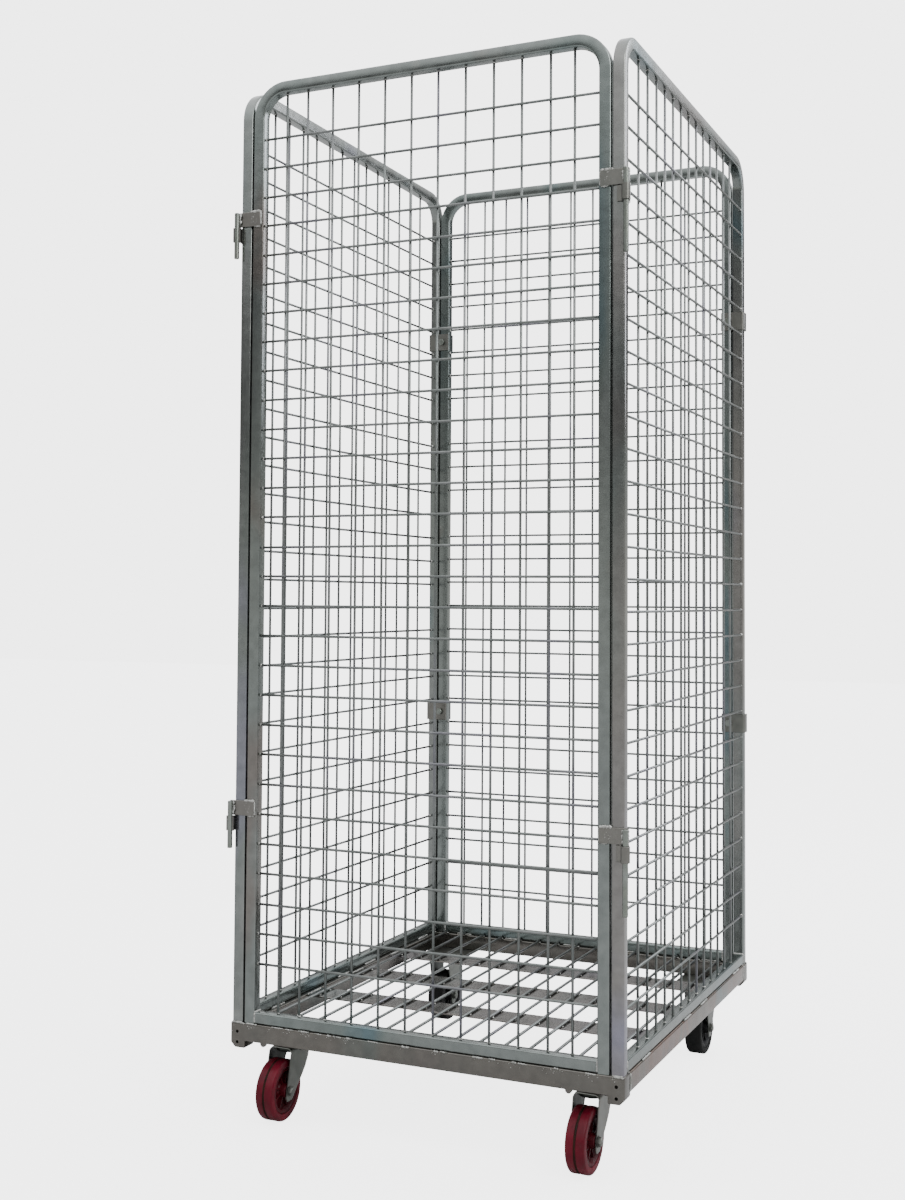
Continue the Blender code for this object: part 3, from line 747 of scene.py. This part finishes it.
# Casters ---------------------------------------------------------------------------------------
def fork_mesh(bm, x, y, axle_y, top, reach, thick=0.003, inner=0.0195):
    """Pressed fork: crown with rounded shoulders and two legs that narrow to the axle."""
    shoulder = 0.008
    half = inner + thick / 2
    section = []
    low_z = 0.034
    for k in range(15):
        section.append((-half, low_z + (top - shoulder - low_z) * k / 14))
    for k in range(1, 6):
        turn = math.radians(180 - 18 * k)
        section.append((-half + shoulder + shoulder * math.cos(turn),
                        top - thick / 2 - shoulder + shoulder * math.sin(turn)))
    section += [(-half + shoulder + (2 * half - 2 * shoulder) * k / 4, top - thick / 2) for k in range(1, 4)]
    section += [(-a, b) for a, b in reversed(section[:20])]

    rear_edge = ((0.033, 0.10), (0.0365, 0.18), (0.048, 0.33), (0.056, 0.46), (0.065, 0.61),
                 (0.078, 0.79), (0.094, 0.93), (top - 0.004, 1.0), (top, 1.0))
    front_edge = ((0.033, -0.0070), (0.038, -0.0105), (0.048, -0.0090), (top, y - reach - axle_y))

    def span(z):
        """Front and rear edge of the leg at a height."""
        found = []
        for edge in (front_edge, rear_edge):
            for (z0, a0), (z1, a1) in zip(edge, edge[1:]):
                if z <= z1 or (z1, a1) == edge[-1]:
                    found.append(a0 + (a1 - a0) * max(0.0, min(1.0, (z - z0) / (z1 - z0))))
                    break
        return axle_y + found[0], axle_y + found[1] * (y + reach - axle_y)

    columns = 9
    outer_rows, inner_rows = [], []
    for k, (a, z) in enumerate(section):
        before = Vector(section[max(0, k - 1)])
        after = Vector(section[min(len(section) - 1, k + 1)])
        run = (after - before).normalized()
        normal = Vector((-run.y, run.x)) * thick / 2
        front, rear = span(z)
        outer_row, inner_row = [], []
        for c in range(columns):
            place = front + (rear - front) * c / (columns - 1)
            edge = 0.0007 if c in (0, columns - 1) else 0.0
            scale = (thick / 2 - edge) / (thick / 2)
            outer_row.append(bm.verts.new((x + a + normal.x * scale, place, z + normal.y * scale)))
            inner_row.append(bm.verts.new((x + a - normal.x * scale, place, z - normal.y * scale)))
        outer_rows.append(outer_row)
        inner_rows.append(inner_row)
    for k in range(len(section) - 1):
        for c in range(columns - 1):
            bm.faces.new((outer_rows[k][c], outer_rows[k + 1][c], outer_rows[k + 1][c + 1], outer_rows[k][c + 1]))
            # Inner faces take slot 1, the near-black caster material: painted shade between the fork legs.
            inside = bm.faces.new((inner_rows[k][c], inner_rows[k][c + 1],
                                   inner_rows[k + 1][c + 1], inner_rows[k + 1][c]))
            inside.material_index = 1
        for c in (0, columns - 1):
            bm.faces.new((outer_rows[k][c], inner_rows[k][c], inner_rows[k + 1][c], outer_rows[k + 1][c]))
    for k in (0, len(section) - 1):
        for c in range(columns - 1):
            bm.faces.new((outer_rows[k][c], outer_rows[k][c + 1], inner_rows[k][c + 1], inner_rows[k][c]))


def wheel_pieces(place, body, tread_material, hub_material, grooved):
    """Tread and ribbed hub of one wheel; the front ones have a groove."""
    low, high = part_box("tread_" + place)
    centre = (Vector(low) + Vector(high)) / 2
    outer = (high[2] - low[2]) / 2
    half = (high[0] - low[0]) / 2
    inner = outer - 0.012
    profile = [(inner + 0.0002, half - 0.0010), (inner + 0.0012, half)]
    for k in range(5):
        turn = math.radians(90 - 22.5 * k)
        profile.append((outer - 0.0045 + 0.0045 * math.cos(turn), half - 0.0045 + 0.0045 * math.sin(turn)))
    if grooved:
        profile += [(outer, 0.0026), (outer - 0.0006, 0.0019), (outer - 0.0024, 0.0010)]
        profile += [(outer - 0.0024, -0.0010), (outer - 0.0006, -0.0019), (outer, -0.0026)]
    for k in range(5):
        turn = math.radians(0 - 22.5 * k)
        profile.append((outer - 0.0045 + 0.0045 * math.cos(turn), -half + 0.0045 + 0.0045 * math.sin(turn)))
    profile += [(inner + 0.0012, -half), (inner + 0.0002, -half + 0.0010)]
    bm = bmesh.new()
    lathe_into(bm, profile, centre, "X", 72)
    tread = finish_piece("tyre_" + place, bm, tread_material, body, ["tread_" + place],
                         30)
    if grooved:
        tread.data.materials.append(groove_dark)
        for face in tread.data.polygons:
            spot = Vector(face.center) - centre
            if abs(spot.x) < 0.0018 and math.hypot(spot.y, spot.z) > outer - 0.004:
                face.material_index = 1
    low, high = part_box("hub_" + place)
    half = (high[0] - low[0]) / 2
    rim_half = 0.0145
    rim = inner - 0.0003
    profile = [
        (0.0056, half - 0.0006), (0.0062, half), (0.0102, half), (0.0110, half - 0.0008), (0.0118, 0.0085),
        (0.0140, 0.0062), (0.0265, 0.0058), (0.0290, 0.0070), (0.0318, rim_half - 0.001), (0.0326, rim_half),
        (rim - 0.0008, rim_half), (rim, rim_half - 0.0008),
    ]
    profile += [(r, -h) for r, h in reversed(profile)]
    bm = bmesh.new()
    lathe_into(bm, profile, centre, "X", 72)
    for k in range(8):
        turn = 2 * math.pi * (k + 0.5) / 8
        for face in (-1, 1):
            made = box_into(bm, (0.0030, 0.0112, -0.0012), (0.0112, 0.0312, 0.0012))
            for vert in made:
                if vert.co.x > 0.008 and vert.co.y > 0.02:
                    vert.co.x -= 0.0012
                vert.co.x *= face
                spun = Matrix.Rotation(turn, 3, "X") @ vert.co
                vert.co = spun + centre
    finish_piece("wheel_body_" + place, bm, hub_material, body, ["hub_" + place],
                 30)


def axle_piece(place, body):
    """Axle with a hexagon and a washer at each end."""
    low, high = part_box("axle_" + place)
    centre = (Vector(low) + Vector(high)) / 2
    half = (high[0] - low[0]) / 2
    bm = bmesh.new()
    rod_into(bm, (centre.x - half - 0.0012, centre.y, centre.z), (centre.x + half, centre.y, centre.z),
             0.0048, 20, 0.0008)
    for side, depth in ((-1, 0.0052), (1, 0.0048)):
        rings = []
        start = half - 0.0055
        radius = 0.0075
        for at, size in ((start + 0.0010, radius - 0.0006), (start + 0.0016, radius), (start + depth - 0.0008, radius),
                         (start + depth, radius - 0.0009)):
            rings.append([bm.verts.new(centre + Vector((side * at, size * math.cos(math.radians(60 * k)),
                                                        size * math.sin(math.radians(60 * k))))) for k in range(6)])
        join_rings(bm, rings)
        washer = [(0.0052, side * start), (0.0088, side * start),
                  (0.0088, side * (start + 0.0011)), (0.0052, side * (start + 0.0011))]
        lathe_into(bm, washer, centre, "X", 32)
    finish_piece("axle_bolt_" + place, bm, caster_zinc, body, ["axle_" + place], 35)


def plate_piece(place, swivel):
    """Bolted top plate, and for a swivel its bearing and king bolt."""
    low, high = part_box("caster_plate_" + place)
    x, y = (low[0] + high[0]) / 2, (low[1] + high[1]) / 2
    bm = bmesh.new()
    section = rounded_square((high[0] - low[0]) / 2, (high[1] - low[1]) / 2, 0.008, 5)
    rings = []
    for z, trim in ((low[2], 0.0004), (low[2] + 0.0004, 0), (high[2] - 0.0004, 0), (high[2], 0.0004)):
        rings.append([bm.verts.new((x + a - math.copysign(trim, a), y + b - math.copysign(trim, b), z))
                      for a, b in section])
    join_rings(bm, rings)
    for a in (-1, 1):
        for b in (-1, 1):
            spot = (x + a * ((high[0] - low[0]) / 2 - 0.013), y + b * ((high[1] - low[1]) / 2 - 0.014))
            rings = []
            for z, size in ((low[2] - 0.0045, 0.0062), (low[2] - 0.0040, 0.0069),
                            (low[2] - 0.0004, 0.0069), (low[2] + 0.0002, 0.0066)):
                rings.append([bm.verts.new((spot[0] + size * math.cos(math.radians(60 * k)),
                                            spot[1] + size * math.sin(math.radians(60 * k)), z)) for k in range(6)])
            join_rings(bm, rings)
    finish_piece("top_plate_" + place, bm, caster_zinc, "frame", ["caster_plate_" + place], 35)
    if swivel:
        low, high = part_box("swivel_bearing_" + place)
        top, bottom = high[2], low[2]
        profile = [(0.0068, top - 0.0002), (0.0215, top - 0.0002)]
        for k in range(1, 7):
            turn = math.radians(90 - 15 * k)
            profile.append((0.0215 + 0.0045 * math.cos(turn), top - 0.0047 + 0.0045 * math.sin(turn)))
        profile += [(0.0248, bottom + 0.0032), (0.0258, bottom + 0.0020),
                    (0.0258, bottom + 0.0004), (0.0068, bottom + 0.0004)]
        bm = bmesh.new()
        lathe_into(bm, profile, (x, y, 0), "Z", 56)
        finish_piece("ball_race_" + place, bm, caster_zinc, "frame", ["swivel_bearing_" + place], 35)
        low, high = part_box("king_pin_" + place)
        head = [(0.0002, high[2]), (0.0085, high[2]), (0.0098, high[2] - 0.0012), (0.0098, high[2] - 0.0030),
                (0.0060, high[2] - 0.0030), (0.0060, low[2] + 0.0040), (0.0098, low[2] + 0.0040),
                (0.0098, low[2] + 0.0016), (0.0075, low[2] + 0.0002), (0.0002, low[2] + 0.0002)]
        bm = bmesh.new()
        lathe_into(bm, head, (x, y, 0), "Z", 32)
        finish_piece("king_bolt_" + place, bm, caster_zinc, "frame", ["king_pin_" + place], 35)


for side, hand in HANDS:
    for end in ("front", "rear"):
        place = f"{end}_{hand}"
        swivel = end == "front"
        body = "swivel_" + place if swivel else "frame"
        low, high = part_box("fork_" + place)
        axle_low, axle_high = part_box("axle_" + place)
        axle_y = (axle_low[1] + axle_high[1]) / 2
        plate_low, plate_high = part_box("caster_plate_" + place)
        x, y = (low[0] + high[0]) / 2, (plate_low[1] + plate_high[1]) / 2
        bm = bmesh.new()
        if swivel:
            fork_mesh(bm, x, y, axle_y, high[2], 0.030)
        else:
            fork_mesh(bm, x, axle_y + 0.006, axle_y, high[2], 0.036)
        shell = finish_piece("fork_shell_" + place, bm, caster_zinc, body, ["fork_" + place], 40)
        # Slot 1 is the near-black painted-shade material for the inner faces of the legs.
        shell.data.materials.append(caster_painted_shade)
        if swivel:
            under = high[2] - 0.0042
            dish = [(0.0118, under), (0.0236, under), (0.0240, under - 0.0030), (0.0225, under - 0.0062),
                    (0.0205, under - 0.0070), (0.0140, under - 0.0070), (0.0118, under - 0.0050)]
            bm = bmesh.new()
            lathe_into(bm, dish, (x, y, 0), "Z", 48)
            # The dish is made in the near-black caster material: painted shade under the crown.
            finish_piece("crown_dish_" + place, bm, caster_painted_shade, body, (), 35)
        axle_piece(place, body)
        plate_piece(place, swivel)
        wheel_pieces(place, "wheel_" + place, red_tread if swivel else black_tread,
                     red_hub if swivel else black_hub, swivel)


# Floor, light and camera -----------------------------------------------------------------------
# Camera rays see a brighter floor and sky than the ones that light the object.
FLOOR_SHOWN = 3.5
SKY_SHOWN = 4.2
SKY_LIGHT = 2.2

floor_material = bpy.data.materials.new("studio_floor")
floor_material.use_nodes = True
floor_shader = floor_material.node_tree.nodes["Principled BSDF"]
floor_shader.inputs["Base Color"].default_value = (0.50, 0.50, 0.50, 1)
floor_shader.inputs["Roughness"].default_value = 0.9
nodes, links = floor_material.node_tree.nodes, floor_material.node_tree.links
glow = nodes.new("ShaderNodeMath")
glow.operation = "MULTIPLY"
links.new(nodes.new("ShaderNodeLightPath").outputs["Is Camera Ray"], glow.inputs[0])
glow.inputs[1].default_value = FLOOR_SHOWN
links.new(glow.outputs[0], floor_shader.inputs["Emission Strength"])
floor_shader.inputs["Emission Color"].default_value = (1, 1, 1, 1)
bm = bmesh.new()
bmesh.ops.create_grid(bm, x_segments=1, y_segments=1, size=14)
floor_mesh = bpy.data.meshes.new("studio_floor")
bm.to_mesh(floor_mesh)
bm.free()
floor = bpy.data.objects.new("studio_floor", floor_mesh)
floor_mesh.materials.append(floor_material)
bpy.context.scene.collection.objects.link(floor)

world = bpy.data.worlds.new("studio")
bpy.context.scene.world = world
world.use_nodes = True
nodes, links = world.node_tree.nodes, world.node_tree.links
split = nodes.new("ShaderNodeSeparateXYZ")
links.new(nodes.new("ShaderNodeTexCoord").outputs["Generated"], split.inputs[0])
walls = ramp(nodes, [(0.0, (0.44, 0.44, 0.42)), (0.06, (0.30, 0.30, 0.29)), (0.13, (0.10, 0.10, 0.10)),
                     (0.18, (0.03, 0.031, 0.033)), (0.23, (0.05, 0.051, 0.054)), (0.28, (0.40, 0.40, 0.40)),
                     (0.42, (0.74, 0.75, 0.76)), (0.70, (0.93, 0.94, 0.96))])
links.new(split.outputs["Z"], walls.inputs["Fac"])
around = nodes.new("ShaderNodeBackground")
around.inputs["Strength"].default_value = SKY_LIGHT
links.new(walls.outputs["Color"], around.inputs["Color"])
behind = nodes["Background"]
behind.inputs["Color"].default_value = (1, 1, 1, 1)
behind.inputs["Strength"].default_value = SKY_SHOWN
pick = nodes.new("ShaderNodeMixShader")
links.new(nodes.new("ShaderNodeLightPath").outputs["Is Camera Ray"], pick.inputs[0])
links.new(around.outputs[0], pick.inputs[1])
links.new(behind.outputs[0], pick.inputs[2])
links.new(pick.outputs[0], nodes["World Output"].inputs["Surface"])


def area_light(name, place, aim, size, power, colour=(1, 1, 1)):
    data = bpy.data.lights.new(name, "AREA")
    data.shape = "RECTANGLE"
    data.size, data.size_y = size
    data.energy = power
    data.color = colour
    lamp = bpy.data.objects.new(name, data)
    bpy.context.scene.collection.objects.link(lamp)
    lamp.location = place
    lamp.rotation_euler = (Vector(aim) - Vector(place)).to_track_quat("-Z", "Y").to_euler()


area_light("key", (2.8, -1.6, 3.2), (0.0, 0.0, 1.0), (1.6, 2.2), 60)
area_light("rim", (2.2, 2.4, 2.6), (0.0, 0.0, 1.2), (1.2, 2.0), 45, (0.92, 0.93, 1.0))

camera_data = bpy.data.cameras.new("camera")
camera = bpy.data.objects.new("camera", camera_data)
bpy.context.scene.collection.objects.link(camera)
camera_data.lens = 44.74
camera_data.sensor_width = 36
camera_data.shift_x = 0.0088
camera_data.shift_y = -0.0506
yaw, pitch, roll = 0.4294, 0.0401, 0.0062
forward = Vector((-math.sin(yaw) * math.cos(pitch), math.cos(yaw) * math.cos(pitch), math.sin(pitch)))
right = Vector((math.cos(yaw), math.sin(yaw), 0))
up = right.cross(forward)
right, up = (right * math.cos(roll) + up * math.sin(roll), up * math.cos(roll) - right * math.sin(roll))
turn = Matrix((right, up, -forward)).transposed().to_4x4()
camera.matrix_world = Matrix.Translation((1.0307, -2.5601, 0.8736)) @ turn
bpy.context.scene.camera = camera
